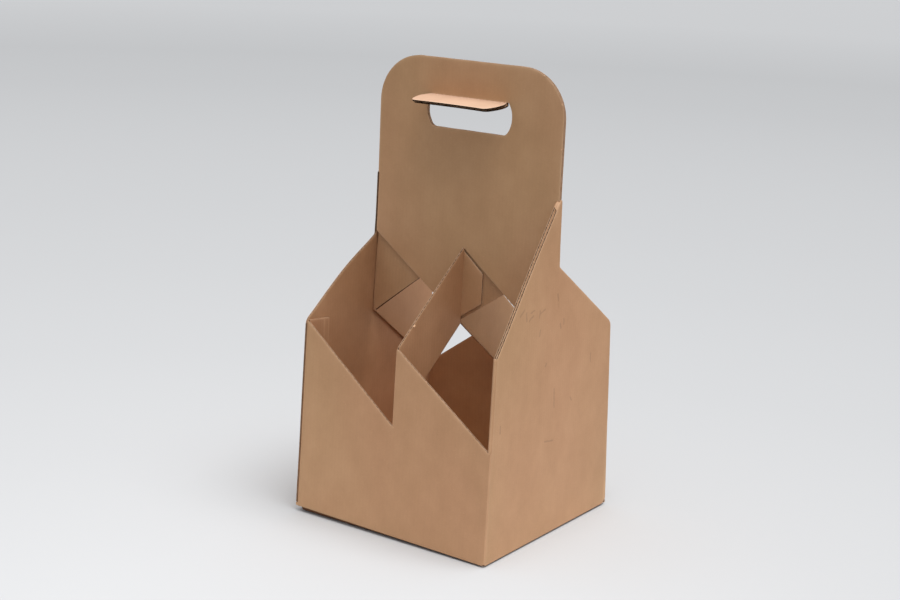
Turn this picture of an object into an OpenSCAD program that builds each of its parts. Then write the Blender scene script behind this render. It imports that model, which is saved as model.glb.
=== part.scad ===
// Carrier with four open cells and a handle, folded and glued from corrugated board.
// Millimetres, +Z up. The origin is on the floor under the middle of the carrier.
// X runs along the front wall, Y runs from the front wall to the back wall.
// Two halves are alike: the back half is the front half turned half a turn about Z.

/* [Base] */
// Width of the base over the side walls
base_w = 181; // [150:1:240]
// Depth of the base over the front and back walls
base_d = 181; // [150:1:240]
// How far the front and back walls lean in, in degrees
front_lean = 2.4; // [0.5:0.1:4]
// How far the side walls lean in, in degrees
side_lean = 0.9; // [0.3:0.1:3]

/* [Board] */
// Thickness of one layer of board
board_t = 1.6; // [1.2:0.1:3]

/* [Walls] */
// Height of the walls at the two glued corners
corner_h = 157; // [120:1:190]
// Height of the tooth in the middle of the front wall
tooth_h = 150; // [110:1:190]
// Height of the notch beside the tooth
notch_h = 89.5; // [50:0.5:105]
// Height of the notch at the folded corner, where the hem begins
hem_foot_h = 87.5; // [50:0.5:105]
// Height of a side wall at its folded corner
hem_h = 159.5; // [125:0.5:200]
// Height of a side wall's peak at the handle
peak_h = 266; // [235:1:290]
// Height of the side wall's step, just behind the handle
step_h = 218; // [195:1:230]
// Radius in the corner of that step
step_r = 4; // [1:0.5:8]

/* [Glued laps] */
// Width of the flap that is glued inside a corner
lap_w = 25; // [12:1:40]
// How far the top of that flap falls towards its free end
lap_fall = 2.5; // [0:0.5:10]
// Corner cut off a side wall at the foot of its raw edge
relief = 3.5; // [1:0.5:8]
// Width of the tab that holds a divider to the handle panel
tab_w = 20; // [10:1:32]
// Clearance round that tab, to the edges of the board above and below it
tab_gap = 3; // [1:0.5:6]

/* [Dividers] */
// Height of a divider's upper edge at the handle panel
divider_h = 217; // [195:1:230]

/* [Handle] */
// Height of the handle over all
handle_h = 363; // [340:1:420]
// Width of the handle above the side walls' peaks
handle_w = 171; // [150:1:171]
// Radius of the handle's two upper corners
handle_r = 38; // [10:1:55]
// Board above the hand hole, from its fold to the handle's top edge
grip_top = 28.4; // [20:0.2:45]
// Width of the hand hole over its round ends
grip_w = 79; // [60:1:110]
// Height of the hand hole
grip_h = 25.5; // [20:0.5:30]
// Radius of the hand hole's round ends
grip_r = 20; // [16:0.5:28]
// How far the centres of those ends lie below the fold
grip_drop = 11.6; // [8:0.1:14]
// How far the turned out flap hangs below level, in degrees
flap_droop = 7; // [0:1:30]

/* [Foot] */
// Height of the front wall's lower fold at the glued corner
front_glued_lift = 4; // [0.5:0.1:5]
// Height of the front wall's lower fold at the folded corner
front_folded_lift = 0.8; // [0.2:0.1:5]
// Height of the back wall's lower fold at the glued corner
back_glued_lift = 1; // [0.2:0.1:5]
// Height of the back wall's lower fold at the folded corner
back_folded_lift = 1.5; // [0.2:0.1:5]
// Width of the strip inside each wall over which the floor comes down
floor_slope_w = 8; // [5:1:50]
// Gap between the two outer floor flaps
floor_seam = 1; // [0.5:0.1:4]
// Length of the inner floor flaps
inner_flap_w = 66; // [35:1:70]

/* [Hidden] */
$fn = 72;
// A fold bites this far into the board
crease_bite = 0.02;
fold_r = board_t - crease_bite;
// Glued layers press this far into each other
glue_bite = 0.1;
// The second layer of a doubled edge is cut this much shorter
ply_step = 0.3;
// The handle panel's ends bite this far into the side walls, and stop this far below the peaks
wall_bite = board_t / 2;
shoulder = 6;
// Width of the strip at each end of a bowed floor flap
strip = 1;

// Faces of the leaning walls at height z, measured out from the middle
function side_out(z) = base_w / 2 - z * tan(side_lean);
function side_in(z) = side_out(z) - board_t;
function front_out(z) = base_d / 2 - z * tan(front_lean);
function front_in(z) = front_out(z) - board_t;

// The notch line, which is also a divider's lower edge, and the side walls' step line,
// which is also the lower edge of the handle panel: their rise over one millimetre
notch_rise = (corner_h - notch_h) / side_in(corner_h);
step_rise = (step_h - corner_h) / side_in(step_h);
// The divider's upper edge, which is also the lower edge of the handle panel beside it
divider_rise = (divider_h - tooth_h) / side_in(tooth_h);
handle_half = min(handle_w / 2, side_out(peak_h));
grip_fold_h = handle_h - grip_top;
// The round ends of the hand hole: their centres, and where they meet the fold
grip_end_x = grip_w / 2 - grip_r;
grip_hinge_x = grip_end_x + sqrt(pow(grip_r, 2) - pow(grip_drop, 2));
floor_flat = front_in(0) - floor_slope_w;

// Points on a leaning wall: p is sideways, z is a true height
function on_front(p, z) = [p, z / cos(front_lean)];
function on_side(p, z) = [p, z / cos(side_lean)];

// A round stretch of an outline
function arc(c, r, from, to, steps = 8) =
    [for (i = [0 : steps]) c + r * [cos(from + (to - from) * i / steps),
                                    sin(from + (to - from) * i / steps)]];

// The rounded back of a fold, from point a to point b
module fold(a, b) {
    way = b - a;
    translate(a)
        rotate([0, acos(way.z / norm(way)), atan2(way.y, way.x)])
            cylinder(r = fold_r, h = norm(way), $fn = 12);
}

// Places an outline as a layer of the front wall; layer 0 is the outermost
module front_layer(t = board_t, layer = 0)
    translate([0, -base_d / 2, 0])
        rotate([90 - front_lean, 0, 0])
            translate([0, 0, -layer * board_t - t])
                linear_extrude(t) children();

// Places an outline as a layer of the right wall
module side_layer(t = board_t, layer = 0)
    translate([base_w / 2, 0, 0])
        rotate([0, -side_lean, 0])
            rotate([90, 0, 90])
                translate([0, 0, -layer * board_t - t])
                    linear_extrude(t) children();

// Front wall with its two notches and the tooth between them
module front_wall(glued_lift, folded_lift) {
    glued_z = glued_lift + board_t;
    folded_z = folded_lift + board_t;
    front_layer() polygon([
        on_front(-side_in(glued_z) + board_t, glued_z),
        on_front(-side_in(corner_h) + board_t, corner_h),
        on_front(0, notch_h),
        on_front(board_t, notch_h),
        on_front(board_t, tooth_h),
        on_front(side_in(hem_foot_h), hem_foot_h),
        on_front(side_in(folded_z), folded_z),
    ]);
}

// Folds round the front wall: glued flap, tooth, hem and floor
module front_folds(glued_lift, folded_lift) {
    glued_z = glued_lift + board_t;
    folded_z = folded_lift + board_t;
    fold([-side_in(glued_z) + board_t, -front_in(glued_z), glued_z],
        [-side_in(corner_h) + board_t, -front_in(corner_h), corner_h]);
    fold([board_t, -front_in(notch_h), notch_h],
        [board_t, -front_in(tooth_h), tooth_h]);
    fold([side_in(folded_z), -front_in(folded_z), folded_z],
        [side_in(hem_h), -front_in(hem_h), hem_h]);
    fold([-side_in(glued_z) + board_t, -front_in(glued_z), glued_z],
        [side_in(folded_z), -front_in(folded_z), folded_z]);
}

// Flap of the front wall, glued to the inside of the left wall
module glued_flap(glued_lift) {
    low = glued_lift + 2 * board_t;
    mirror([1, 0, 0])
        side_layer(board_t + glue_bite, 1 - glue_bite / board_t) polygon([
            on_side(-front_in(low), low),
            on_side(-front_in(corner_h), corner_h),
            on_side(-front_in(corner_h) + lap_w, corner_h - lap_fall),
            on_side(-front_in(low) + lap_w, low + lap_fall),
        ]);
}

// Right wall: a tall front half up to the peak and a low back half behind the step
module side_wall(folded_lift, glued_lift) {
    folded_z = folded_lift + board_t;
    glued_z = glued_lift + relief;
    fall = (step_h - corner_h) / (front_out(corner_h) - board_t);
    turn = atan(fall);
    side_layer() polygon(concat(
        [
            on_side(-front_in(folded_z), folded_z),
            on_side(-front_in(hem_h), hem_h),
            on_side(board_t, peak_h),
        ],
        arc(on_side(board_t + step_r, step_h + step_r * tan(45 - turn / 2) - step_r * fall),
            step_r, 180, 270 - turn),
        [
            on_side(front_out(corner_h), corner_h),
            on_side(front_out(glued_z), glued_z),
            on_side(front_out(glued_z) - relief, glued_lift + board_t),
        ]
    ));
    fold([side_in(folded_z), -front_in(folded_z), folded_z],
        [side_in(folded_z), front_in(glued_z) - relief, glued_lift + board_t]);
}

// Inner layer of the right wall, struck out of the front wall and folded back on itself
module inner_layer() {
    side_layer(board_t + glue_bite, 1 - glue_bite / board_t) polygon([
        on_side(-front_in(hem_foot_h), hem_foot_h),
        on_side(-front_in(hem_h), hem_h - ply_step),
        on_side(0, peak_h - ply_step),
        on_side(0, tooth_h),
    ]);
}

// Divider, struck out of the front wall and folded back at the tooth
module divider() {
    deep = front_in(notch_h) - board_t;
    low = notch_h + notch_rise * deep;
    rotate([90, 0, 90]) linear_extrude(board_t) polygon([
        [-front_in(notch_h), notch_h],
        [-front_in(tooth_h), tooth_h],
        [-board_t, divider_h],
        [-board_t, low],
    ]);
    divider_tab();
}

// Tab at the end of a divider, glued to the other half's layer of the handle panel
module divider_tab()
    rotate([90, 0, 0]) linear_extrude(board_t) polygon([
        [0, corner_h + tab_gap],
        [0, divider_h - tab_gap],
        [board_t, divider_h - tab_gap],
        [tab_w, divider_h - tab_gap - divider_rise * tab_w],
        [tab_w, corner_h + tab_gap + step_rise * tab_w],
    ]);

// Outline of the hand hole and its flap, from y = -from down to y = -to below the fold
module grip_outline(from, to)
    intersection() {
        union() {
            translate([-grip_end_x, -grip_drop]) circle(grip_r);
            translate([grip_end_x, -grip_drop]) circle(grip_r);
            translate([-grip_end_x, -grip_drop - grip_r])
                square([2 * grip_end_x, 2 * grip_r]);
        }
        translate([-grip_w, -to]) square([2 * grip_w, to - from]);
    }

// Handle above the side walls' steps, where its two layers lie flush
module handle_panel()
    rotate([90, 0, 0]) linear_extrude(2 * board_t, center = true) difference() {
        union() {
            polygon([
                [-side_in(step_h), step_h],
                [-handle_half, peak_h],
                [-handle_half, handle_h - handle_r],
                [handle_half, handle_h - handle_r],
                [handle_half, peak_h],
                [side_in(step_h), step_h],
            ]);
            translate([-handle_half + handle_r, handle_h - handle_r]) circle(handle_r);
            translate([handle_half - handle_r, handle_h - handle_r]) circle(handle_r);
            translate([-handle_half + handle_r, handle_h - handle_r - strip])
                square([2 * (handle_half - handle_r), handle_r + strip]);
        }
        translate([0, grip_fold_h]) grip_outline(board_t / 2, grip_h);
    }

// Lower part of the handle's front layer. Its edge is the cut that freed the divider
// on one side, and follows the left wall's step line on the other.
module handle_skirt()
    rotate([90, 0, 0]) linear_extrude(board_t) polygon([
        [side_in(tooth_h) + wall_bite, tooth_h],
        [board_t / 2, divider_h],
        [board_t / 2, corner_h],
        [-side_in(step_h) - wall_bite, step_h],
        [-side_in(peak_h) - wall_bite, peak_h - shoulder],
        [side_in(peak_h) + wall_bite, peak_h - shoulder],
    ]);

// One layer of the flap out of the hand hole, folded forward at its upper edge
module grip_flap(hinge_y, hinge_z, length)
    translate([0, hinge_y, hinge_z]) rotate([flap_droop, 0, 0]) translate([0, 0, -fold_r])
        linear_extrude(fold_r) {
            grip_outline(0, length);
            translate([-grip_hinge_x, 0]) square([2 * grip_hinge_x, board_t / 2]);
        }

// Both layers of that flap; the back layer passes under the front one
module grip_flaps() {
    grip_flap(-board_t, grip_fold_h, grip_h);
    grip_flap(0, grip_fold_h - board_t, grip_h - board_t);
    fold([-grip_hinge_x + board_t, 0, grip_fold_h - board_t],
        [grip_hinge_x - board_t, 0, grip_fold_h - board_t]);
}

// Outer floor flap of the front wall, bowed down to the floor
module outer_floor(glued_lift, folded_lift) {
    reach = side_in(0) - board_t;
    hull() {
        translate([-reach, -front_in(0), glued_lift]) cube([strip, strip, board_t]);
        translate([reach - strip, -front_in(0), folded_lift]) cube([strip, strip, board_t]);
        translate([-reach, -floor_flat, 0]) cube([2 * reach, strip, board_t]);
    }
    translate([-reach, -floor_flat, 0])
        cube([2 * reach, floor_flat - floor_seam / 2, board_t]);
}

// Inner floor flap of the right wall, lying on the outer ones
module inner_floor(folded_lift, glued_lift) {
    reach = front_in(0) - 2 * board_t;
    edge = side_in(0);
    lie = board_t - glue_bite;
    hull() {
        translate([edge - strip, -reach, folded_lift + board_t])
            cube([strip, strip, board_t]);
        translate([edge - strip, reach - strip, glued_lift + board_t])
            cube([strip, strip, board_t]);
        translate([edge - floor_slope_w, -reach, lie])
            cube([strip, 2 * reach, board_t]);
    }
    translate([edge - inner_flap_w, -reach, lie])
        cube([inner_flap_w - floor_slope_w + strip, 2 * reach, board_t]);
}

// Everything in one half; the lifts are those of its glued, folded and far corners
module half(glued_lift, folded_lift, far_lift) {
    front_wall(glued_lift, folded_lift);
    front_folds(glued_lift, folded_lift);
    glued_flap(glued_lift);
    side_wall(folded_lift, far_lift);
    inner_layer();
    divider();
    handle_skirt();
    outer_floor(glued_lift, folded_lift);
    inner_floor(folded_lift, far_lift);
}

module carrier() color("burlywood") {
    half(front_glued_lift, front_folded_lift, back_glued_lift);
    rotate([0, 0, 180]) half(back_glued_lift, back_folded_lift, front_glued_lift);
    handle_panel();
    grip_flaps();
}

carrier();
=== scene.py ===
"""Board carrier with four open cells and a handle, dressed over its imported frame.

Every panel is made as real corrugated board: an outer liner, an inner liner and a
fluted medium between them, cut on the same outlines as the solid part. Sizes are in
millimetres until the mesh is made. X runs along the front wall, Y towards the back.
"""
import math

import bmesh
import bpy
import numpy as np
from mathutils import Matrix, Vector


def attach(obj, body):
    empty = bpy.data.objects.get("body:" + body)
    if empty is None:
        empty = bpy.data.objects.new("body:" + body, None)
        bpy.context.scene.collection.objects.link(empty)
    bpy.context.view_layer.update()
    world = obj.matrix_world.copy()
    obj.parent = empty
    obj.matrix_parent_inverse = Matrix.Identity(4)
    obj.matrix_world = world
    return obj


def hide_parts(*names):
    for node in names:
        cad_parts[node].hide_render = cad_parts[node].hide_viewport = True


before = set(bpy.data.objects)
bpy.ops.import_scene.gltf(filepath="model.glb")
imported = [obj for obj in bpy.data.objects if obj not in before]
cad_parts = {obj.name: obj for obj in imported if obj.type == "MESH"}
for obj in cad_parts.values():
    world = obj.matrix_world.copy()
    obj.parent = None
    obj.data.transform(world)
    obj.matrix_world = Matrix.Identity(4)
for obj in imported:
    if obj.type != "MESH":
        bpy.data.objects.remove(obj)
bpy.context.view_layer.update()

# Sizes of the carrier, as in the part's source
BASE_W = 181.0
BASE_D = 181.0
FRONT_LEAN = math.tan(math.radians(2.4))
SIDE_LEAN = math.tan(math.radians(0.9))
BOARD = 1.6
CORNER_H = 157.0
TOOTH_H = 150.0
NOTCH_H = 89.5
HEM_FOOT_H = 87.5
HEM_H = 159.5
PEAK_H = 266.0
STEP_H = 218.0
STEP_R = 4.0
LAP_W = 25.0
LAP_FALL = 2.5
RELIEF = 3.5
TAB_W = 20.0
TAB_GAP = 3.0
DIVIDER_H = 217.0
HANDLE_H = 363.0
HANDLE_W = 171.0
HANDLE_R = 38.0
GRIP_FOLD_H = 334.6
GRIP_W = 79.0
GRIP_H = 25.5
GRIP_R = 20.0
GRIP_DROP = 11.6
FLAP_DROOP = 7.0
FLOOR_SLOPE_W = 8.0
FLOOR_SEAM = 1.0
INNER_FLAP_W = 66.0
FRONT_GLUED_LIFT = 4.0
FRONT_FOLDED_LIFT = 0.8
BACK_GLUED_LIFT = 1.0
BACK_FOLDED_LIFT = 1.5

# Small shapes that only the visual model has
GRIP_FILLET = 6.0
OUTSIDE_R = 0.75
LEAST_R = 0.03
CREASE_FLAT = 0.12
FOLD_LENGTH = 2.4
HEM_LENGTH = 5.0
TONGUE_H = 1.9
CORNER_FALL = 1.1
TOOTH_RISE = 1.2
FLAP_SKEW = 2.8
FLAP_TAPER = 0.055
HINGE_HALF_W = 35.6
SHOULDER_W = 2.6 * BOARD
SHOULDER_FALL = 3.0
PINCH_W = 5.5

# How far out the walls stand, and where the handle begins to hold them
LEFT_FOOT_OUT = 0.3
LEFT_MORE_OUT = 1.6
RIGHT_OUT = 1.3
FLARE_OUT = 2.6
BULGE_TOP = 165.0
HOLD_RISE = 65.0

# How pale the lower folds are, and how far the painted shade reaches under the front wall
LOW_WORN = 0.12
PAINTED_SHADE_W = 7.0
# Columns that end lower than this end in a fold
FOOT_ZONE = 20.0

# The make-up of the board
LINER = 0.27
WEB = 0.2
PITCH = 3.25
MIDDLE = BOARD / 2
SWING = MIDDLE - LINER - WEB / 2 - 0.06
CRUSH = 0.17
CRUSH_REACH = 0.75
CUT_REACH = 0.9
RECESS = 0.3
EDGE_HOLLOW = 1.9
EDGE_HOLLOW_W = 12.0

# Material slots of every piece; the last one is a near black paint on raw edges, as painted shade
OUTER, INNER, MEDIUM, RIM, SHADED_EDGE = range(5)

# Points nearer than this are joined, in metres; edges turned more than SHARP stay sharp
WELD = 2e-6
SHARP = math.radians(35)
# Columns nearer than MERGE are one, edges shorter than SLIVER are none, and FAR is out of reach
MERGE = 0.02
SLIVER = 0.03
FAR = 99.0


def side_out(z):
    return BASE_W / 2 - z * SIDE_LEAN


def side_in(z):
    return side_out(z) - BOARD


def front_out(z):
    return BASE_D / 2 - z * FRONT_LEAN


def front_in(z):
    return front_out(z) - BOARD


def ease(t):
    t = min(1.0, max(0.0, t))
    return t * t * (3 - 2 * t)


class Skin:
    """The points, faces and shades of one piece of board, turned half a turn for the back."""

    def __init__(self, name, seed=0, turned=False):
        self.name = name
        self.seed = seed
        self.turned = turned
        self.points = []
        self.sheet = []
        self.tone = []
        self.faces = []
        self.slots = []
        self.known = {}
        self.layers = 0

    def between(self, a, b, share):
        """A new point part of the way from point a to point b."""
        for values in (self.points, self.sheet, self.tone):
            values.append(tuple(x + (y - x) * share for x, y in zip(values[a], values[b])))
        return len(self.points) - 1

    def add(self, place, u, v, fold=0.0, cut=0.0, key=None):
        """A point at a place, at u, v on its sheet; fold and cut are how worn it is, and a fold below
        zero is painted shade.
        """
        if key in self.known:
            return self.known[key]
        if key:
            self.known[key] = len(self.points)
        x, y, z = place
        if self.turned:
            x, y = -x, -y
        self.points.append((x, y, z))
        self.sheet.append((u, v))
        self.tone.append((fold, cut))
        return len(self.points) - 1

    def face(self, corners, slot, flip=False):
        seen = tuple(dict.fromkeys(corners))
        if len(seen) >= 3:
            self.faces.append(seen[::-1] if flip else seen)
            self.slots.append(slot)

    def grid(self, rows, slot, flip=False):
        for a, b in zip(rows, rows[1:]):
            for i in range(len(a) - 1):
                self.face((a[i], b[i], b[i + 1], a[i + 1]), slot, flip)


def slabs(outlines, spacing, extra=()):
    """Cuts outlines into columns: (u0, u1, spans), each span (low0, low1, high0, high1)."""
    marks = set()
    edges = []
    for outline in outlines:
        for (u0, v0), (u1, v1) in zip(outline, outline[1:] + outline[:1]):
            marks.add(round(u0, 4))
            if abs(u1 - u0) > 1e-4:
                edges.append((u0, v0, u1, v1) if u0 < u1 else (u1, v1, u0, v0))
    low, high = min(marks), max(marks)
    marks.update(round(m, 4) for m in extra if low < m < high)
    ordered = sorted(marks)
    kept = [ordered[0]]
    for m in ordered[1:]:
        if m - kept[-1] > MERGE:
            kept.append(m)
    kept[-1] = ordered[-1]
    columns = [kept[0]]
    for m in kept[1:]:
        gap = m - columns[-1]
        count = max(1, math.ceil(gap / spacing - 1e-6))
        start = columns[-1]
        columns.extend(start + gap * i / count for i in range(1, count + 1))
    made = []
    for a, b in zip(columns, columns[1:]):
        mid = (a + b) / 2
        crossed = []
        for u0, v0, u1, v1 in edges:
            if u0 <= mid <= u1:
                at = [v0 + (v1 - v0) * (u - u0) / (u1 - u0) for u in (a, b, mid)]
                crossed.append((at[2], at[0], at[1]))
        crossed.sort()
        spans = []
        for below, above in zip(crossed[::2], crossed[1::2]):
            if above[0] - below[0] > MERGE:
                spans.append((below[1], below[2], above[1], above[2]))
        made.append((a, b, spans))
    return made


# Distances of the rows nearest to a cut end, for the liners and for the medium
NEAR = (0.0, 0.3, 0.8, 1.6, 3.6)
MEDIUM_NEAR = (0.0, 0.8, 2.4)
# Shares of their length at which the outer and inner floor flaps and the grip's flap have rows
FLOOR_SHARES = (0, .008, .016, .025, .035, .045, .06, .075, .095, .15, .3, .5, .8, .96, .98, .99, 1)
SIDE_FLOOR_SHARES = (0, .03, .06, .09, .12, .18, .24, .3, .36, .4, .5, .7, .9, .96, .98, .99, 1)
GRIP_SHARES = (0, .01, .02, .035, .05, .07, .09, .115, .14, .2, .35, .55, .75, .9, .95, .98, .992, 1)


def rows_at(shares):
    return lambda low, high: [low + (high - low) * share for share in shares]


def upright_rows(low, high, middle=8, near=NEAR):
    """Heights from low to high, closer together at both ends; always the same count."""
    span = high - low
    scale = min(1.0, span / (2 * near[-1] + 2))
    ends = [n * scale for n in near]
    inner = [low + ends[-1] + (span - 2 * ends[-1]) * i / middle for i in range(1, middle)]
    return [low + e for e in ends] + inner + [high - e for e in reversed(ends)]


def ragged(u, seed):
    """How far a cut edge strays from its line."""
    return 0.045 * math.sin(u * 1.9 + seed) + 0.035 * math.sin(u * 4.7 + seed * 2.3)


def squeezed(d, near):
    """The depth d where the board is crushed at this distance from a cut edge."""
    return MIDDLE + (d - MIDDLE) * (1 - CRUSH * math.exp(-((near / CRUSH_REACH) ** 2)))


def panel(skin, outlines, place, is_cut=lambda u, v: True, edges=(), extra=(), middle=8,
          fold_near=lambda u, v: 0.0, spacing=4.0, shape_rows=None, edge_slot=RIM,
          end_slot=lambda u: RIM):
    """Adds a panel of board. place(u, v, d) gives the point at depth d below the outer liner.

    is_cut(u, v) is true where an end of a column is a cut edge rather than a fold. edges
    lists the u of upright cut edges and extra other columns. fold_near(u, v) is 1 on a worn
    fold and -1 where dark shade is painted under the foot. edge_slot and end_slot(u) are the
    slots of the liners' rims.
    """
    seed = skin.seed
    near_edges = [e + s * n for e in edges for s in (-1, 1) for n in NEAR[1:4]]

    def crushed(u, v, d, low, high):
        reach = [abs(u - e) for e in edges]
        if is_cut(u, low):
            reach.append(v - low)
        if is_cut(u, high):
            reach.append(high - v)
        near = min(reach, default=FAR)
        return squeezed(d, near), math.exp(-near / CUT_REACH)

    def surface(u, low, high, d, rows, back, tag):
        line = []
        for v in rows:
            depth, cut = crushed(u, v, d(u), low, high)
            shift = 0.0
            if v == rows[-1] and is_cut(u, high):
                shift = ragged(u, seed) - back
            elif v == rows[0] and is_cut(u, low):
                shift = ragged(u, seed + 1.7) + back
            line.append(skin.add(place(u, v + shift, depth), u, v, fold_near(u, v), cut,
                                 (tag, round(u, 3), round(v, 3), round(depth, 3))))
        return line

    def layer(front, back, slot_front, slot_back, step, near, mid, inset, more):
        skin.layers += 1
        tag = skin.layers
        last = []
        for a, b, spans in slabs(outlines, step, more):
            now = []
            for low0, low1, high0, high1 in spans:
                lines = []
                for u, low, high in ((a, low0, high0), (b, low1, high1)):
                    if shape_rows:
                        rows = shape_rows(low, high)
                    else:
                        rows = upright_rows(low, high, mid, near)
                    lines.append((surface(u, low, high, front, rows, inset, tag),
                                  surface(u, low, high, back, rows, inset, -tag), rows))
                (fa, ba, ra), (fb, bb, rb) = lines
                skin.grid([fa, fb], slot_front)
                skin.grid([ba, bb], slot_back, flip=True)
                raw = MEDIUM if slot_front == MEDIUM else end_slot(a)
                skin.face((fa[0], ba[0], bb[0], fb[0]), raw, flip=True)
                skin.face((fa[-1], ba[-1], bb[-1], fb[-1]), raw)
                now.append(((low0, high0, fa, ba, ra), (low1, high1, fb, bb, rb)))
            rims([c[1] for c in last], [c[0] for c in now], False)
            rims([c[0] for c in now], [c[1] for c in last], True)
            last = now
        rims([c[1] for c in last], [], False)

    def rims(mine, others, flip):
        """Closes the sides of the spans in mine where no span in others meets them."""
        for low, high, fronts, backs, rows in mine:
            bare = [(low, high)]
            for other in others:
                cut = []
                for a, b in bare:
                    if other[0] > a + SLIVER:
                        cut.append((a, min(b, other[0])))
                    if other[1] < b - SLIVER:
                        cut.append((max(a, other[1]), b))
                    if other[0] >= b or other[1] <= a:
                        cut = cut[:-1] if len(cut) > 1 else cut
                bare = [(a, b) for a, b in cut if b - a > SLIVER]
            for i in range(len(rows) - 1):
                for a, b in bare:
                    if a <= rows[i] + 0.01 and rows[i + 1] - 0.01 <= b:
                        skin.face((fronts[i], backs[i], backs[i + 1], fronts[i + 1]), edge_slot, flip)
                    elif a < rows[i + 1] - SLIVER and b > rows[i] + SLIVER:
                        ends = []
                        for v in (max(a, rows[i]), min(b, rows[i + 1])):
                            share = (v - rows[i]) / (rows[i + 1] - rows[i])
                            for line in (fronts, backs):
                                ends.append(skin.between(line[i], line[i + 1], share))
                        skin.face((ends[0], ends[1], ends[3], ends[2]), edge_slot, flip)

    marks = list(extra) + near_edges
    layer(lambda u: 0.0, lambda u: LINER, OUTER, RIM, spacing, NEAR, middle, 0.0, marks)
    layer(lambda u: BOARD - LINER, lambda u: BOARD, RIM, INNER, spacing, NEAR, middle, 0.0, marks)

    def wave(u):
        return MIDDLE + SWING * math.sin(2 * math.pi * u / PITCH + seed)

    def drawn_in(outline):
        """The medium stops short of the upright cut edges, which leaves them hollow."""
        ends = (min(u for u, v in outline), max(u for u, v in outline))
        hollow = [e for e in ends if any(abs(e - edge) < 2.5 for edge in edges)]
        return [(u + sum(math.copysign(EDGE_HOLLOW, (ends[0] + ends[1]) / 2 - e)
                         * max(0.0, 1 - abs(u - e) / EDGE_HOLLOW_W) for e in hollow), v)
                for u, v in outline]

    outlines = [drawn_in(outlines[0])] + list(outlines[1:])
    layer(lambda u: wave(u) - WEB / 2, lambda u: wave(u) + WEB / 2, MEDIUM, MEDIUM,
          PITCH / 8, MEDIUM_NEAR, middle, RECESS, near_edges)


def bend(skin, place, low, high, reach=FOLD_LENGTH, steps=14, rows=8, cut_ends=(True, True),
         worn=0.35, start=0.0, pinched=False, painted_foot_shade=False):
    """Adds a rounded fold. place(t, v, d) takes t from 0 to 1 round the fold; at the foot, the half
    that faces the floor can be painted dark as painted shade.
    """
    def line(t, d, back=0.0):
        made = []
        levels = upright_rows(low, high, rows)
        for v in levels:
            near = FAR
            if cut_ends[0]:
                near = min(near, v - low)
            if cut_ends[1]:
                near = min(near, high - v)
            shift = 0.0
            if v == levels[-1] and cut_ends[1]:
                shift = -back
            if v == levels[0] and cut_ends[0]:
                shift = back
            # Below zero is painted shade, on the half of a foot fold that faces the floor
            fold = worn * math.sin(math.pi * t) ** 2 - (ease((t - 0.55) / 0.4) if painted_foot_shade else 0.0)
            made.append(skin.add(place(t, v + shift, squeezed(d, near)), start + reach * t, v,
                                 fold, math.exp(-near / CUT_REACH)))
        return made

    shells = ((0.0, LINER, OUTER, RIM, 0.0), (0.55, 0.95, MEDIUM, MEDIUM, RECESS),
              (BOARD - LINER, BOARD, RIM, INNER, 0.0))
    for top, under, slot_top, slot_under, back in shells:
        fronts = [line(i / steps, top, back) for i in range(steps + 1)]
        backs = [line(i / steps, under, back) for i in range(steps + 1)]
        skin.grid(fronts, slot_top)
        skin.grid(backs, slot_under, flip=True)
        skin.grid([[f[0] for f in fronts], [b[0] for b in backs]], RIM)
        skin.grid([[f[-1] for f in fronts], [b[-1] for b in backs]], RIM, flip=True)
    if pinched:
        cap = []
        for j in range(7):
            d = BOARD * j / 6
            bulge = 0.35 * math.sin(math.pi * j / 6)
            cap.append([skin.add(place(i / steps, high + bulge, d), start + reach * i / steps,
                                 high + d, 0.8, 1.0) for i in range(steps + 1)])
        skin.grid(cap, RIM)


def flake(skin, foot, along, out, radius, width):
    """Adds a torn scrap of liner that curls away from an edge."""
    along = Vector(along).normalized()
    out = Vector(out).normalized()
    up = along.cross(out)
    sheets = []
    for depth in (0.0, 0.12):
        rows = []
        for i in range(9):
            angle = math.radians(215) * i / 8
            reach = radius - depth
            ahead = out * (math.sin(angle) * reach) + up * (radius - math.cos(angle) * reach)
            wide = width * (1 - 0.45 * (i / 8) ** 2)
            rows.append([skin.add(tuple(Vector(foot) + ahead + along * (wide * (j / 4 - 0.5))),
                                  j * 0.4, i * 0.4, 0.6, 1.0) for j in range(5)])
        sheets.append(rows)
    skin.grid(sheets[0], OUTER)
    skin.grid(sheets[1], RIM, flip=True)
    for one, two in ((0, 0), (-1, -1)):
        skin.grid([sheets[0][one], sheets[1][two]], RIM)
    for side in (0, -1):
        skin.grid([[r[side] for r in sheets[0]], [r[side] for r in sheets[1]]], RIM)


# Where the panels stand


def on_front(x, z, d):
    return (x, -front_out(z) + d, z)


def on_right(y, z, d):
    return (side_out(z) - d, y, z)


def on_inner(y, z, d):
    return (side_in(z) - BOARD + d - 0.02, y, z)


def on_lap(y, z, d):
    return (-side_in(z) + d + 0.02, y, z)


def on_divider(y, z, d):
    return (d, y, z)


def on_tab(x, z, d):
    return (x, -BOARD + d, z)


def on_handle(x, z, d):
    return (x, -BOARD + d - 0.01, z)


def crease_section(t, d):
    """A crease of a quarter turn: how far out along the first and the second panel's facing."""
    tight = max(LEAST_R, OUTSIDE_R - d)
    centre = max(0.0, BOARD - d - tight)
    if t < CREASE_FLAT:
        return centre + tight, centre * t / CREASE_FLAT
    if t > 1 - CREASE_FLAT:
        return centre * (1 - t) / CREASE_FLAT, centre + tight
    angle = math.radians(90 * (t - CREASE_FLAT) / (1 - 2 * CREASE_FLAT))
    return centre + tight * math.cos(angle), centre + tight * math.sin(angle)


def front_fold(x_at, side):
    """A quarter turn of the front wall round an upright line, to the right (1) or the left (-1)."""
    def place(t, z, d):
        out, across = crease_section(t, d)
        return (x_at(z) + side * across, -front_in(z) - out, z)
    return place


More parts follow.
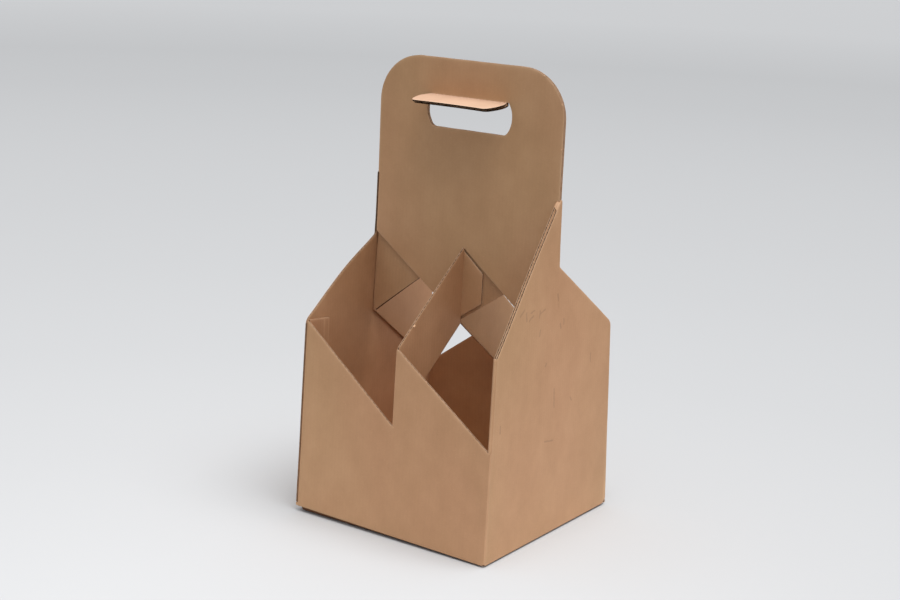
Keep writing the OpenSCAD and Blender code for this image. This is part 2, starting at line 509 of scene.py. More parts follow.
def hem_fold(t, z, d):
    """Half a turn, pressed nearly flat, from the side wall into its inner layer."""
    angle = -math.pi * t
    reach = max(LEAST_R, BOARD - d)
    pressed = 0.72 + 0.28 * math.cos(2 * angle) ** 2
    return (side_in(z) + reach * math.cos(angle),
            -front_in(z) + reach * math.sin(angle) * pressed, z)


def arc_points(cx, cz, r, start, end, steps):
    angles = [math.radians(start + (end - start) * i / steps) for i in range(steps + 1)]
    return [(cx + r * math.cos(a), cz + r * math.sin(a)) for a in angles]


def mirrored(points):
    return [(-x, z) for x, z in reversed(points)]


def grip_outline(shrink=0.0):
    """The hand hole from the right end of its hinge round to the left end, x and height."""
    r = GRIP_R - shrink
    cx = GRIP_W / 2 - GRIP_R
    cz = GRIP_FOLD_H - GRIP_DROP
    foot = GRIP_FOLD_H - GRIP_H + shrink
    small_r = GRIP_FILLET - shrink
    fall = cz - (foot + small_r)
    small_x = cx + math.sqrt((r - small_r) ** 2 - fall ** 2)
    join = math.degrees(math.atan2(-fall, small_x - cx))
    top = math.degrees(math.asin(GRIP_DROP / r))
    right = arc_points(cx, cz, r, top, join, 26)
    right += arc_points(small_x, foot + small_r, small_r, join, -90, 8)[1:]
    return right + mirrored(right)


def floor_level(lift, t):
    """Height of a floor flap at t from its fold, which stands at this lift."""
    return lift * max(0.0, 1 - t / FLOOR_SLOPE_W) ** 8


def lift_between(first, last, reach):
    """The lift of a lower fold along its wall, from -reach to reach."""
    return lambda along: first + (last - first) * (along + reach) / (2 * reach)


def above_foot(u, v):
    return v > FOOT_ZONE


def front_wall(skin, glued_lift, folded_lift):
    """The front wall, its upright folds, its lower fold and its floor flap."""
    lift_at = lift_between(glued_lift, folded_lift, side_in(0))
    glued_z = glued_lift + BOARD
    folded_z = folded_lift + BOARD
    tongue_z = glued_z + TONGUE_H
    slope_z = CORNER_H - CORNER_FALL
    panel(skin, [[
        (-side_out(0) + 0.2, glued_z),
        (side_in(folded_z), folded_z),
        (side_in(HEM_FOOT_H), HEM_FOOT_H + 0.4),
        (BOARD, TOOTH_H),
        (BOARD, NOTCH_H),
        (0.0, NOTCH_H),
        (BOARD - side_in(CORNER_H), slope_z),
        (BOARD - side_in(glued_z), tongue_z),
        (-side_out(0) + 0.3, tongue_z - 0.7),
    ]], on_front, is_cut=above_foot,
        fold_near=lambda x, z: LOW_WORN * math.exp(-abs(z - lift_at(x) - BOARD) / 0.7))
    bend(skin, front_fold(side_in, 1), folded_z, HEM_FOOT_H, cut_ends=(False, False),
         start=side_in(0))
    bend(skin, front_fold(lambda z: BOARD, -1), NOTCH_H, TOOTH_H, cut_ends=(False, True))
    bend(skin, front_fold(lambda z: BOARD - side_in(z), -1), tongue_z, slope_z,
         start=BOARD - side_in(0))

    def lower_fold(t, x, d):
        z = lift_at(x) + BOARD
        out, down = crease_section(t, d)
        return (x, -front_in(z) - out, z - down)

    # The lower fold's half that faces the floor is painted dark: painted shade
    bend(skin, lower_fold, -side_out(0) + 0.2, side_in(0), rows=14, worn=0.1, painted_foot_shade=True)

    def on_floor(x, t, d):
        lift = lift_at(x)
        return (x, -front_in(lift + BOARD) + t, floor_level(lift, t) + d)

    end = front_in(0) - FLOOR_SEAM / 2
    reach = side_in(0) - 2 * BOARD
    # The floor flap is painted dark near its fold: painted shade under the lifted wall
    panel(skin, [[(-reach, 0.0), (reach, 0.0), (reach - 1.5, end), (-reach + 1.5, end)]],
          on_floor, is_cut=above_foot, edges=(-reach, reach), spacing=6.0,
          fold_near=lambda x, t: -math.exp(-(t / PAINTED_SHADE_W) ** 2), shape_rows=rows_at(FLOOR_SHARES))


def glued_lap(skin, glued_lift):
    """The flap that is glued inside the other half's wall."""
    foot = glued_lift + 2 * BOARD
    panel(skin, [[
        (-front_in(foot), foot),
        (-front_in(foot) + LAP_W, foot + LAP_FALL),
        (-front_in(CORNER_H) + LAP_W, CORNER_H - LAP_FALL),
        (-front_in(CORNER_H), CORNER_H),
    ]], on_lap, edges=(-front_in(0) + LAP_W,))


def divider_and_tab(skin):
    """The divider, the tab that holds it, and torn scraps on the front one."""
    deep = front_in(NOTCH_H) - BOARD
    notch_rise = (CORNER_H - NOTCH_H) / side_in(CORNER_H)
    panel(skin, [[
        (-front_in(NOTCH_H), NOTCH_H),
        (-BOARD, NOTCH_H + notch_rise * deep),
        (-BOARD, DIVIDER_H),
        (-front_in(TOOTH_H), TOOTH_H + TOOTH_RISE),
    ]], on_divider, extra=(-BOARD - 0.5,))
    if not skin.turned:
        tooth_y = -front_out(TOOTH_H)
        notch_y = -front_out(NOTCH_H)
        flake(skin, (BOARD - 0.2, -64.9, 165.0), (0, 0.78, 0.62), (0.85, 0.2, 0.4), 0.9, 2.3)
        flake(skin, (BOARD + 0.9, tooth_y + 0.4, TOOTH_H - 0.7), (1, 0, -0.65),
              (-0.2, -0.6, 0.8), 0.45, 1.7)
        flake(skin, (BOARD + 2.9, tooth_y + 0.5, TOOTH_H - 1.9), (1, 0, -0.65),
              (0.2, -0.5, 0.8), 0.35, 1.2)
        flake(skin, (-1.1, notch_y + 0.2, NOTCH_H + 0.7), (1, 0, -0.7), (-0.4, -0.7, 0.3),
              0.35, 1.3)
    step_rise = (STEP_H - CORNER_H) / side_in(STEP_H)
    divider_rise = (DIVIDER_H - TOOTH_H) / side_in(TOOTH_H)
    low = CORNER_H + TAB_GAP
    high = DIVIDER_H - TAB_GAP
    panel(skin, [[
        (0.0, low),
        (TAB_W, low + step_rise * TAB_W),
        (TAB_W, high - divider_rise * TAB_W),
        (BOARD, high),
        (0.0, high),
    ]], on_tab)


def side_wall(skin, folded_lift, far_lift):
    """The side wall with its step behind the handle, its lower fold and its floor flap."""
    far_at = lift_between(folded_lift, far_lift, front_in(0))
    folded_z = folded_lift + BOARD
    relief_z = far_lift + RELIEF
    fall = (STEP_H - CORNER_H) / (front_out(CORNER_H) - BOARD)
    turn = math.degrees(math.atan(fall))
    step_z = STEP_H + STEP_R * math.tan(math.radians(45 - turn / 2)) - STEP_R * fall
    back_y = front_out(CORNER_H)
    panel(skin, [[
        (-front_in(folded_z), folded_z),
        (front_out(relief_z) - RELIEF, far_lift + BOARD),
        (front_out(relief_z), relief_z),
        (back_y + 0.1, CORNER_H - 2.4),
        (back_y - 0.3, CORNER_H - 0.9),
        (back_y - 1.4, CORNER_H + 0.5),
        (back_y - 2.4, CORNER_H + 2.4 * fall),
        *reversed(arc_points(BOARD + STEP_R, step_z, STEP_R, 180, 270 - turn, 8)),
        (BOARD, PEAK_H),
        (0.3, PEAK_H + 0.35),
        (-front_in(HEM_H), HEM_H),
    ]], on_right, is_cut=lambda y, z: z > 8 or y > front_out(0) - RELIEF - 1,
        # The upright cut edge takes the darkened medium paint: painted shade of the hollow edge
        edges=(front_out(60),), edge_slot=MEDIUM,
        # The back end is painted near black: painted shade of its hollow raw edge
        end_slot=lambda y: SHADED_EDGE if y > back_y - 0.2 else RIM,
        fold_near=lambda y, z: max(0.3 * math.exp(-abs(y + front_in(z)) / 0.8),
                                   LOW_WORN * math.exp(-abs(z - far_at(y) - BOARD) / 0.7)))

    def side_fold(t, y, d):
        z = far_at(y) + BOARD
        out, down = crease_section(t, d)
        return (side_in(z) + out, y, z - down)

    # The lower fold's half that faces the floor is painted dark: painted shade
    bend(skin, side_fold, -front_in(0), front_out(0) - RELIEF, rows=14, worn=0.1, painted_foot_shade=True)

    def on_side_floor(y, t, d):
        lift = far_at(y)
        rise = BOARD * ease(t / 6) + 0.03
        return (side_in(lift + BOARD) - t, y, floor_level(lift, t) + rise + d)

    reach = front_in(0) - 2 * BOARD
    panel(skin, [[(-reach, 0.0), (reach, 0.0), (reach - 3.0, INNER_FLAP_W),
                  (-reach + 3.0, INNER_FLAP_W)]],
          on_side_floor, is_cut=above_foot, edges=(-reach, reach), spacing=6.0,
          shape_rows=rows_at(SIDE_FLOOR_SHARES))


def inner_layer(skin):
    """The inner layer of the side wall, its hem, and the pinched tip over both layers."""
    bend(skin, hem_fold, HEM_FOOT_H, HEM_H, reach=HEM_LENGTH, steps=20, start=-front_in(0))
    shoulder = (-SHOULDER_W, PEAK_H - SHOULDER_FALL)
    slope_w = front_in(HEM_H)
    panel(skin, [[
        (-front_in(HEM_FOOT_H), HEM_FOOT_H),
        (-BOARD, TOOTH_H),
        (-BOARD, PEAK_H - 0.9),
        shoulder,
        (-slope_w, HEM_H - 0.3),
    ]], on_inner)
    # The last of the sloping edge is pinched shut over both plies and rubbed pale
    tip = []
    for i in range(15):
        y = -PINCH_W + (PINCH_W + 0.2) * i / 14
        inner_top = np.interp(y, (-slope_w, shoulder[0], -BOARD), (HEM_H, shoulder[1], PEAK_H - 0.9))
        outer_top = HEM_H + (PEAK_H + 0.2 - HEM_H) * (y + slope_w) / slope_w
        high = float(inner_top) + 0.3 * ease(i / 5) - 0.3
        low = outer_top + 0.4 * ease(i / 5) - 0.3
        profile = [(0.4, high - 1.6), (-0.1, high - 0.6)]
        profile += [(BOARD * j / 6, high + 0.5 * math.sin(math.pi * (j + 0.5) / 7)) for j in range(7)]
        profile += [(BOARD + 0.25, max(low, high - 0.4)), (BOARD + 1.0, low + 0.2),
                    (BOARD + 1.5, low - 0.1), (BOARD + 1.45, low - 0.9)]
        tip.append([skin.add(on_inner(y, z, d), y, z, 0.3, 0.4) for d, z in profile])
    skin.grid(tip, OUTER)


def half_sheet(side, glued_lift, folded_lift, far_lift, turned, seed):
    """The wall, lap, divider, side wall, inner layer and floor flaps of one half."""
    names = ("wall", "lap", "divider", "side", "inner_layer")
    skins = [Skin(side + "_" + name, seed + n, turned) for n, name in enumerate(names)]
    wall, lap, divider, flank, inner = skins
    front_wall(wall, glued_lift, folded_lift)
    glued_lap(lap, glued_lift)
    divider_and_tab(divider)
    side_wall(flank, folded_lift, far_lift)
    inner_layer(inner)
    return skins


def grip_flap(skin, turned):
    """One layer of the flap, folded forward; the back layer passes round the outside."""
    swing = math.radians(90 - FLAP_DROOP)
    hinge_y = -BOARD - 0.02
    base = BOARD if turned else 0.0
    neutral = base + MIDDLE
    arc_length = neutral * swing

    def on_flap(x, w, d):
        depth = base + (BOARD - d if turned else d)
        sag = 0.35 * (x / 36.0) ** 2 * (w / GRIP_H) - 0.25 * math.sin(math.pi * w / GRIP_H)
        crush = 0.16 * math.exp(-((w - arc_length) / 1.6) ** 2)
        depth += crush * (math.sin(2 * math.pi * x / PITCH) + 0.6 * math.sin(x * 1.13 + 0.7))
        x -= FLAP_SKEW * max(0.0, w / GRIP_H) ** 1.2 + FLAP_TAPER * max(0.0, x)
        if w < arc_length:
            a = w / neutral
            return (x, hinge_y + depth * math.cos(a), GRIP_FOLD_H - depth * math.sin(a))
        along = w - arc_length
        return (x, hinge_y + depth * math.cos(swing) - along * math.sin(swing),
                GRIP_FOLD_H - depth * math.sin(swing) - along * math.cos(swing) - sag)

    panel(skin, [[(x, GRIP_FOLD_H - z) for x, z in grip_outline(0.35)]], on_flap,
          # The flap's cut edges are painted near black: painted shade
          is_cut=lambda x, w: w > 0.4, spacing=0.8, edge_slot=SHADED_EDGE, end_slot=lambda x: SHADED_EDGE,
          shape_rows=rows_at(GRIP_SHARES), fold_near=lambda x, w: 0.5 * math.exp(-w / 1.2))


def handle_layer(name, flap_name, turned, seed):
    """One layer of the handle panel, its fold into the inner layer, and its flap."""
    skin = Skin(name, seed, turned)
    half = HANDLE_W / 2
    fold_top = PEAK_H - 0.7
    right = arc_points(half - HANDLE_R, HANDLE_H - HANDLE_R, HANDLE_R, 0, 90, 24)
    outline = [
        (side_in(TOOTH_H) - BOARD, TOOTH_H),
        (side_in(PEAK_H) - BOARD, fold_top),
        (side_in(PEAK_H) - 0.1, PEAK_H - 0.4),
        (half, PEAK_H + 0.2),
        *right,
        *mirrored(right),
        (-half, PEAK_H + 0.2),
        (-side_in(PEAK_H) + 0.1, PEAK_H - 0.4),
        (-side_in(STEP_H) + 0.05, STEP_H),
        (BOARD / 2, CORNER_H),
        (BOARD / 2, DIVIDER_H),
    ]
    panel(skin, [outline, grip_outline()], on_handle,
          is_cut=lambda x, z: abs(z - GRIP_FOLD_H) >= 0.1 or abs(x) >= HINGE_HALF_W - 0.1,
          fold_near=lambda x, z: math.exp(-abs(z - GRIP_FOLD_H) / 0.9) if abs(x) < 36 else 0.0,
          edges=(-half, half), extra=(-HINGE_HALF_W, HINGE_HALF_W))

    def turn_back(t, z, d):
        angle = math.radians(90 * (1 - t))
        reach = max(LEAST_R, d)
        return (side_in(z) - BOARD + reach * math.cos(angle) - 0.02,
                -BOARD + reach * math.sin(angle) - 0.01, z)

    bend(skin, turn_back, TOOTH_H, fold_top, worn=0.3, start=side_in(0), pinched=True)
    if not turned:
        face_y = -BOARD + 0.3
        flake(skin, (half - 0.1, -BOARD, 304.9), (0, -0.2, -1), (0.9, -0.4, 0.1), 0.7, 1.2)
        flake(skin, (83.1, face_y, 338.2), (0.4, 0, -0.92), (0.9, -0.1, 0.4), 0.6, 1.6)
        flake(skin, (74.2, face_y, 352.0), (0.7, 0, -0.7), (0.7, -0.1, 0.7), 0.4, 1.6)
        flake(skin, (66.3, face_y, 358.0), (0.86, 0, -0.5), (0.5, -0.1, 0.86), 0.35, 1.6)
    flap = Skin(flap_name, seed + 0.5, False)
    grip_flap(flap, turned)
    return [skin, flap]


def tidy_mesh(mesh):
    """Joins the points, turns the faces outwards and keeps cut edges and creases sharp."""
    work = bmesh.new()
    work.from_mesh(mesh)
    bmesh.ops.remove_doubles(work, verts=work.verts, dist=WELD)
    bmesh.ops.recalc_face_normals(work, faces=work.faces)
    for edge in work.edges:
        sides = edge.link_faces
        edge.smooth = (len(sides) == 2 and sides[0].material_index == sides[1].material_index
                       and edge.calc_face_angle(math.pi) < SHARP)
    work.to_mesh(mesh)
    work.free()
    mesh.update()


def bulged(x, y, z):
    """The walls stand a little out of true: pushed out low down, held in by the handle."""
    held = 1 - ease((z - BULGE_TOP) / HOLD_RISE)
    left = -LEFT_FOOT_OUT - LEFT_MORE_OUT * ease(z / 160)
    across = min(1.0, max(0.0, (x / (BASE_W / 2) + 1) / 2)) ** 1.6
    flare = ease(-x / 85) * ease(-y / 34) * ease((y + 97) / 56) * ease((z - 125) / 75)
    return x + held * (left + (RIGHT_OUT - left) * across) - FLARE_OUT * flare, y, z


def make_object(skin, materials):
    """Turns a skin into a mesh object, with its sheet as UV map and its wear as colours."""
    mesh = bpy.data.meshes.new(skin.name)
    mesh.from_pydata([tuple(c * 0.001 for c in bulged(*p)) for p in skin.points], [], skin.faces)
    mesh.polygons.foreach_set("material_index", skin.slots)
    mesh.polygons.foreach_set("use_smooth", [True] * len(skin.faces))
    sheet = mesh.uv_layers.new(name="sheet")
    tone = mesh.color_attributes.new(name="tone", type="FLOAT_COLOR", domain="POINT")
    loops = np.empty(len(mesh.loops), dtype=np.int32)
    mesh.loops.foreach_get("vertex_index", loops)
    flat = np.array(skin.sheet, dtype=np.float32) * 0.001
    sheet.data.foreach_set("uv", flat[loops].ravel())
    shades = np.ones((len(skin.points), 4), dtype=np.float32)
    shades[:, :2] = np.array(skin.tone, dtype=np.float32)
    shades[:, 2] = (skin.seed * 0.37) % 1.0
    tone.data.foreach_set("color", shades.ravel())
    for material in materials:
        mesh.materials.append(material)
    tidy_mesh(mesh)
    obj = bpy.data.objects.new(skin.name, mesh)
    bpy.context.scene.collection.objects.link(obj)
    return obj


# Materials


class Nodes:
    """Short ways to add and join shader nodes."""

    def __init__(self, tree):
        self.tree = tree
        tree.nodes.clear()

    def add(self, kind, **values):
        node = self.tree.nodes.new(kind)
        for key, value in values.items():
            setattr(node, key, value)
        return node

    def join(self, out, into):
        self.tree.links.new(out, into)

    def feed(self, socket, value):
        """Joins an output to a socket, or sets the socket to a number or a colour."""
        if isinstance(value, (int, float)):
            socket.default_value = value
        elif isinstance(value, tuple):
            socket.default_value = value if len(value) == len(socket.default_value) else (*value, 1.0)
        else:
            self.join(value, socket)

    def math(self, operation, a, b=0.0, clamp=False):
        node = self.add("ShaderNodeMath", operation=operation, use_clamp=clamp)
        self.feed(node.inputs[0], a)
        self.feed(node.inputs[1], b)
        return node.outputs[0]

    def times(self, a, b, clamp=False):
        return self.math("MULTIPLY", a, b, clamp)

    def plus(self, a, b):
        return self.math("ADD", a, b)

    def beyond(self, a, b, gain):
        """How far a is above b, times gain, held between 0 and 1."""
        return self.times(self.math("SUBTRACT", a, b), gain, True)

    def vector(self, operation, *values):
        node = self.add("ShaderNodeVectorMath", operation=operation)
        for socket, value in zip(node.inputs, values):
            self.feed(socket, value)
        return node

    def noise(self, vector, scale, detail=3.0, rough=0.55, distortion=0.0):
        """Noise whose scale is a number, or three numbers that stretch it."""
        if isinstance(scale, tuple):
            node = self.add("ShaderNodeMapping")
            node.inputs["Scale"].default_value = scale
            self.join(vector, node.inputs["Vector"])
            vector, scale = node.outputs[0], 1.0
        node = self.add("ShaderNodeTexNoise")
        node.inputs["Scale"].default_value = scale
        node.inputs["Detail"].default_value = detail
        node.inputs["Roughness"].default_value = rough
        node.inputs["Distortion"].default_value = distortion
        self.join(vector, node.inputs["Vector"])
        return node.outputs

    def ramp(self, value, stops):
        node = self.add("ShaderNodeValToRGB")
        ramp = node.color_ramp
        while len(ramp.elements) < len(stops):
            ramp.elements.new(0.5)
        for element, (place, colour) in zip(ramp.elements, stops):
            element.position = place
            element.color = (*colour, 1.0)
        self.join(value, node.inputs[0])
        return node.outputs["Color"]

    def mix(self, factor, a, b, blend="MIX"):
        node = self.add("ShaderNodeMix", data_type="RGBA", blend_type=blend)
        for index, value in ((0, factor), (6, a), (7, b)):
            self.feed(node.inputs[index], value)
        return node.outputs[2]


def new_material(name):
    material = bpy.data.materials.new(name)
    material.use_nodes = True
    return material, Nodes(material.node_tree)


def linear(r, g, b):
    """A colour as it shows, 0 to 255, turned into scene values."""
    return tuple((c / 255 / 12.92) if c <= 10 else ((c / 255 + 0.055) / 1.055) ** 2.4
                 for c in (r, g, b))


def grey(level):
    return (level, level, level)


def darker(colour, *shares):
    return tuple(c * share for c, share in zip(colour, shares))


def paper_shader(n, colour, rough, specular, relief, strength, depth):
    """Joins a paper's colour and relief into a shader and on to the output."""
    shader = n.add("ShaderNodeBsdfPrincipled")
    n.join(colour, shader.inputs["Base Color"])
    shader.inputs["Roughness"].default_value = rough
    shader.inputs["Specular IOR Level"].default_value = specular
    bump = n.add("ShaderNodeBump")
    bump.inputs["Strength"].default_value = strength
    bump.inputs["Distance"].default_value = depth
    n.join(relief, bump.inputs["Height"])
    n.join(bump.outputs[0], shader.inputs["Normal"])
    n.join(shader.outputs[0], n.add("ShaderNodeOutputMaterial").inputs[0])
    return shader


def scuff_mask(n, spot, strokes):
    """How much each place is scuffed by short strokes (from u, v to u, v in millimetres)."""
    shake = n.noise(spot, 190.0, 2.0, 0.5)
    moved = n.vector("MULTIPLY_ADD", shake["Color"], (SCUFF_SHAKE, SCUFF_SHAKE, 0.0), spot)
    mask = None
    for u0, v0, u1, v1 in strokes:
        length = math.hypot(u1 - u0, v1 - v0)
        way = ((u1 - u0) / length, (v1 - v0) / length, 0.0)
        start = (u0 * 0.001 + SCUFF_SHAKE / 2, v0 * 0.001 + SCUFF_SHAKE / 2, 0.0)
        apart = n.vector("SUBTRACT", moved.outputs[0], start).outputs[0]
        along = n.vector("DOT_PRODUCT", apart, way).outputs["Value"]
        held = n.math("MINIMUM", n.math("MAXIMUM", along, 0.0), length * 0.001)
        foot = n.vector("SCALE", way)
        n.join(held, foot.inputs["Scale"])
        off = n.vector("DISTANCE", apart, foot.outputs[0]).outputs["Value"]
        near = n.math("SUBTRACT", 1.0, n.math("DIVIDE", off, SCUFF_W), clamp=True)
        mask = near if mask is None else n.math("MAXIMUM", mask, near)
    return mask


def liner_material(name, tones, flute_shade, strokes=(), painted_foot_shade=False):
    """Kraft liner: mottled, with fibres along the web, flecks and rubbed folds, and painted shade in
    flute streaks and at the foot.

    The tones are the dark, the plain, the light and the worn colour.
    """
    dark, plain, light, worn = tones
    material, n = new_material(name)
    uv = n.add("ShaderNodeUVMap", uv_map="sheet").outputs[0]
    parts = n.add("ShaderNodeSeparateColor")
    n.join(n.add("ShaderNodeAttribute", attribute_name="tone").outputs["Color"], parts.inputs[0])
    fold, cut, own = parts.outputs[0], parts.outputs[1], parts.outputs[2]
    split = n.add("ShaderNodeSeparateXYZ")
    n.join(uv, split.inputs[0])
    joined = n.add("ShaderNodeCombineXYZ")
    for out, socket in zip((split.outputs[0], split.outputs[1], own), joined.inputs):
        n.join(out, socket)
    flat = joined.outputs[0]

    # Each scale along u, along v, and how far apart the pieces' own patterns lie
    broad = n.noise(flat, (9, 6, 3), 3.0, 0.5)["Fac"]
    cloud = n.noise(flat, (55, 38, 5), 4.0, 0.6)["Fac"]
    fibre = n.noise(flat, (420, 2300, 7), 4.0, 0.65, 0.4)["Fac"]
    cross = n.noise(flat, (1900, 500, 9), 3.0, 0.6, 0.3)["Fac"]
    fleck = n.noise(flat, (700, 900, 11), 2.0, 0.5)["Fac"]
    mottle = n.plus(n.times(broad, 0.34), n.times(cloud, 0.36))
    mottle = n.plus(mottle, n.times(fibre, 0.20))
    mottle = n.plus(mottle, n.times(cross, 0.10))
    colour = n.ramp(mottle, [(0.36, dark), (0.5, plain), (0.64, light)])

    # Painted shade in streaks where the liner sinks a little between the flutes
    wave = n.math("SINE", n.times(split.outputs[0], 2 * math.pi / (PITCH * 0.001)))
    wave = n.times(wave, n.plus(n.times(broad, 0.9), 0.1))
    shade = n.plus(n.times(wave, flute_shade), 1.0)
    tint = n.add("ShaderNodeCombineColor")
    for socket in list(tint.inputs)[:3]:
        n.join(shade, socket)
    colour = n.mix(1.0, colour, tint.outputs[0], "MULTIPLY")
    colour = n.mix(n.times(n.beyond(fleck, 0.66, 7.0), 0.35), colour, dark)
    colour = n.mix(n.times(n.beyond(0.33, fleck, 7.0), 0.3), colour, worn)

    # Rubbed folds, fuzzy cut edges, and painted shade at the foot where the fold tone is below zero
    rub = n.times(fold, n.plus(n.times(cross, 0.8), 0.05), True)
    rub = n.math("MAXIMUM", rub, n.times(cut, n.times(cloud, 0.75)))
    colour = n.mix(rub, colour, worn)
    painted_shade = n.times(fold, -0.9, True)
    colour = n.mix(painted_shade, colour, darker(dark, 0.2, 0.11, 0.07))

    # Slow drift between a pinkish and an olive brown, and long faint rub marks
    drift = n.beyond(n.noise(flat, (7, 3.5, 17), 2.0, 0.5)["Fac"], 0.36, 3.4)
    colour = n.mix(1.0, colour, n.mix(drift, (1.02, 0.985, 0.99), (0.985, 1.02, 0.985)), "MULTIPLY")
    streak = n.beyond(n.noise(flat, (30, 330, 13), 2.0, 0.5, 0.6)["Fac"], 0.66, 6.0)
    colour = n.mix(n.times(streak, 0.14), colour, dark)
    dirt = streak
    if strokes:
        dirt = scuff_mask(n, uv, strokes)
        colour = n.mix(n.times(dirt, n.times(cross, 0.75)), colour, darker(dark, 0.42, 0.42, 0.42))

    relief = n.plus(n.times(fibre, 0.5), n.times(cloud, 0.8))
    relief = n.plus(relief, n.times(wave, 0.16))
    relief = n.math("SUBTRACT", relief, n.times(dirt, 0.5))
    shader = paper_shader(n, colour, LINER_ROUGH, 0.48, relief, 0.35, 0.00022)
    # The painted shade at the foot is also made rougher
    if painted_foot_shade:
        rough = n.plus(n.times(painted_shade, 1 - LINER_ROUGH), LINER_ROUGH)
        n.join(rough, shader.inputs["Roughness"])
    return material


def web_material(name, dark, light, fine):
    """Fluting medium and raw cut edges: a coarser, duller paper."""
    material, n = new_material(name)
    place = n.add("ShaderNodeTexCoord").outputs["Object"]
    coarse = n.noise(place, (260, 260, 260), 4.0, 0.6)["Fac"]
    grain = n.noise(place, (fine, fine, fine), 3.0, 0.6)["Fac"]
    colour = n.ramp(n.plus(n.times(coarse, 0.5), n.times(grain, 0.5)), [(0.35, dark), (0.65, light)])
    paper_shader(n, colour, 0.92, 0.2, grain, 0.5, 0.0001)
    return material


LINER_ROUGH = 0.56
SCUFF_W = 0.0011
SCUFF_SHAKE = 0.0022
# Scuffs on the right wall, each from (y, z) to (y, z) in millimetres
WALL_SCUFFS = [
    (0, 194, 1, 189), (-18, 185, -25, 183), (-44, 187, -44, 181), (-47, 190, -53, 186),
    (-25, 185, -26, 180), (10, 173, 10, 169), (5, 170, 6, 166), (-24, 170, -25, 166),
    (-35, 183, -40, 180), (-38, 186, -33, 187), (-13, 142, -15, 140), (54, 136, 54, 130),
    (0, 119, 1, 104), (25, 107, 27, 104), (-11, 79, 1, 77), (-75, 107, -75, 101),
]
OUTER_TONES = (linear(176, 134, 97), linear(185, 142, 105), linear(193, 150, 113),
               linear(224, 188, 154))
INNER_TONES = (linear(168, 126, 92), linear(180, 137, 102), linear(190, 147, 112),
               linear(212, 175, 140))
# The flap's upper face is painted paler and pinker: a painted highlight and sheen where it faces the
# light from above
FLAP_LIT_TONES = (linear(198, 162, 137), linear(206, 170, 145), linear(213, 178, 153),
              linear(229, 200, 177))
outer_liner = liner_material("kraft_outer_liner", OUTER_TONES, 0.012, painted_foot_shade=True)
scuffed_liner = liner_material("kraft_scuffed_liner", OUTER_TONES, 0.012, WALL_SCUFFS, True)
# The flap's liner carries that painted highlight
flap_lit_liner = liner_material("kraft_flap_lit_liner", FLAP_LIT_TONES, 0.02)
inner_liner = liner_material("kraft_inner_liner", INNER_TONES, 0.03)
# The medium's own duller brown, painted darker still as painted shade of the flute hollows
medium_paper_and_shade = web_material("fluting_medium_and_painted_shade", linear(66, 46, 30), linear(104, 76, 52), 1400)
cut_paper = web_material("cut_liner_edge", linear(182, 142, 110), linear(224, 190, 160), 1900)
# A near black paper for raw edges: painted shade, not the board's own colour
shaded_edge_paper = web_material("painted_shade_cut_edge", linear(30, 22, 12), linear(56, 41, 26), 1400)
own_liner = {"front_side": scuffed_liner, "flap_front_layer": flap_lit_liner}

skins = half_sheet("front", FRONT_GLUED_LIFT, FRONT_FOLDED_LIFT, BACK_GLUED_LIFT, False, 0.0)
skins += half_sheet("back", BACK_GLUED_LIFT, BACK_FOLDED_LIFT, FRONT_GLUED_LIFT, True, 7.0)
skins += handle_layer("handle_front_layer", "flap_front_layer", False, 15.0)
skins += handle_layer("handle_back_layer", "flap_back_layer", True, 19.0)
for skin in skins:
    first = own_liner.get(skin.name, outer_liner)
    piece = make_object(skin, [first, inner_liner, medium_paper_and_shade, cut_paper, shaded_edge_paper])
    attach(piece, "root")
    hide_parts("carrier")


# Floor, light and camera

# What a level sheet outside the shadow receives, so that the floor shows as it is painted
LEVEL_OF_LIGHT = 1.58
FLOOR_RINGS = (0.15, 0.3, 0.6, 1.0, 1.6, 2.5, 4.0, 6.5, 10.0, 14.0)
FLOOR_STEPS = 48


def floor_disc():
    """A flat disc, finer near the middle."""
    turns = [2 * math.pi * i / FLOOR_STEPS for i in range(FLOOR_STEPS)]
    points = [(0.0, 0.0, 0.0)]
    points += [(r * math.cos(a), r * math.sin(a), 0.0) for r in FLOOR_RINGS for a in turns]
    faces = [(0, 1 + i, 1 + (i + 1) % FLOOR_STEPS) for i in range(FLOOR_STEPS)]
    for ring in range(len(FLOOR_RINGS) - 1):
        a = 1 + ring * FLOOR_STEPS
        b = a + FLOOR_STEPS
        for i in range(FLOOR_STEPS):
            j = (i + 1) % FLOOR_STEPS
            faces.append((a + i, b + i, b + j, a + j))
    mesh = bpy.data.meshes.new("studio_floor")
    mesh.from_pydata(points, [], faces)
    mesh.update()
    obj = bpy.data.objects.new("studio_floor", mesh)
    obj.location.z = -0.0004
    bpy.context.scene.collection.objects.link(obj)
    return obj


def pale(level):
    return tuple(c / LEVEL_OF_LIGHT for c in linear(level - 2, level, level + 3))


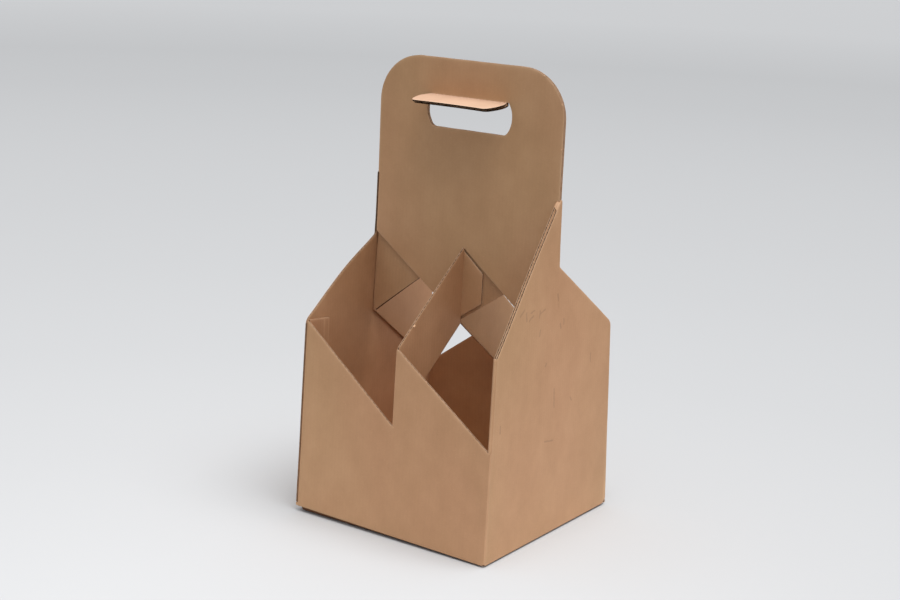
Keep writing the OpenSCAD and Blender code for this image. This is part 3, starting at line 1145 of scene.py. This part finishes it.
def floor_paint():
    """The camera sees a pale floor with a painted pool of light that fades outwards from the carrier;
    the object is lit by a duller one.
    """
    material, n = new_material("studio_floor_paint")
    spot = n.add("ShaderNodeTexCoord").outputs["Object"]

    def distance_from(x, y, reach):
        step = n.vector("DISTANCE", spot, (x, y, 0.0)).outputs["Value"]
        return n.math("DIVIDE", step, reach, clamp=True)

    # A painted pool of light on the seen floor: brightest in front of the carrier, dimmer outwards,
    # level with the backdrop far off
    seen_paint_light_pool = n.ramp(distance_from(0.1, -0.35, 8.0), [
        (0.0, pale(242)), (0.025, pale(240)), (0.06, pale(230)), (0.1, pale(222)),
        (0.15, pale(216)), (0.2, pale(212)), (0.4, pale(200)), (0.5, pale(197)),
        (0.72, pale(206)), (1.0, pale(207))])
    bounce_paint = n.ramp(distance_from(0.0, 0.0, 2.0), [
        (0.0, grey(0.64)), (0.15, grey(0.62)), (0.35, grey(0.3)), (1.0, grey(0.15))])
    rays = n.add("ShaderNodeLightPath")
    dull = n.add("ShaderNodeBsdfDiffuse")
    n.join(n.mix(rays.outputs["Is Camera Ray"], bounce_paint, seen_paint_light_pool), dull.inputs["Color"])
    n.join(dull.outputs[0], n.add("ShaderNodeOutputMaterial").inputs[0])
    return material


def studio_world():
    """A soft sky, brighter overhead, and a plain pale background for the camera."""
    world = bpy.data.worlds.new("studio")
    world.use_nodes = True
    n = Nodes(world.node_tree)
    soft = n.add("ShaderNodeBackground")
    soft.inputs[0].default_value = (0.985, 0.99, 1.0, 1.0)
    rise = n.add("ShaderNodeSeparateXYZ")
    n.join(n.add("ShaderNodeTexCoord").outputs["Generated"], rise.inputs[0])
    sky = n.ramp(n.plus(n.times(rise.outputs[2], 0.5), 0.5), [
        (0.0, grey(0.1)), (0.5, grey(0.12)), (0.57, grey(0.4)), (0.67, grey(0.68)),
        (1.0, grey(0.66))])
    n.join(sky, soft.inputs[1])
    seen = n.add("ShaderNodeBackground")
    seen.inputs[0].default_value = (*linear(206, 207, 209), 1.0)
    seen.inputs[1].default_value = 1.0
    either = n.add("ShaderNodeMixShader")
    n.join(n.add("ShaderNodeLightPath").outputs["Is Camera Ray"], either.inputs[0])
    n.join(soft.outputs[0], either.inputs[1])
    n.join(seen.outputs[0], either.inputs[2])
    n.join(either.outputs[0], n.add("ShaderNodeOutputWorld").inputs[0])
    return world


floor = floor_disc()
floor.data.materials.append(floor_paint())
bpy.context.scene.world = studio_world()

overhead = bpy.data.lights.new("overhead_light", "SUN")
overhead.energy = 3.1
overhead.angle = math.radians(48)
overhead.color = (1.0, 0.985, 0.965)
lamp = bpy.data.objects.new("overhead_light", overhead)
lamp.rotation_euler = Vector((-0.24, 0.02, -0.97)).to_track_quat("-Z", "Y").to_euler()
bpy.context.scene.collection.objects.link(lamp)

# The camera that fits the photograph, which is 900 pixels wide
PHOTO_W = 900
FOCAL_PIXELS = 1694.01
RIGHT_WAY = (0.81884062, 0.57240809, 0.0430002)
UP_WAY = (-0.17059191, 0.17113955, 0.97036573)
BACK_WAY = (0.54808616, -0.80191036, 0.23778421)
STAND = (0.72931, -1.08340, 0.49323)
camera_data = bpy.data.cameras.new("camera")
camera_data.sensor_width = 36.0
camera_data.lens = camera_data.sensor_width * FOCAL_PIXELS / PHOTO_W
camera_data.clip_start = 0.01
camera_data.clip_end = 100
camera = bpy.data.objects.new("camera", camera_data)
camera.matrix_world = Matrix((*zip(RIGHT_WAY, UP_WAY, BACK_WAY, STAND), (0, 0, 0, 1)))
bpy.context.scene.collection.objects.link(camera)
bpy.context.scene.camera = camera
bpy.context.scene.view_settings.view_transform = "Standard"
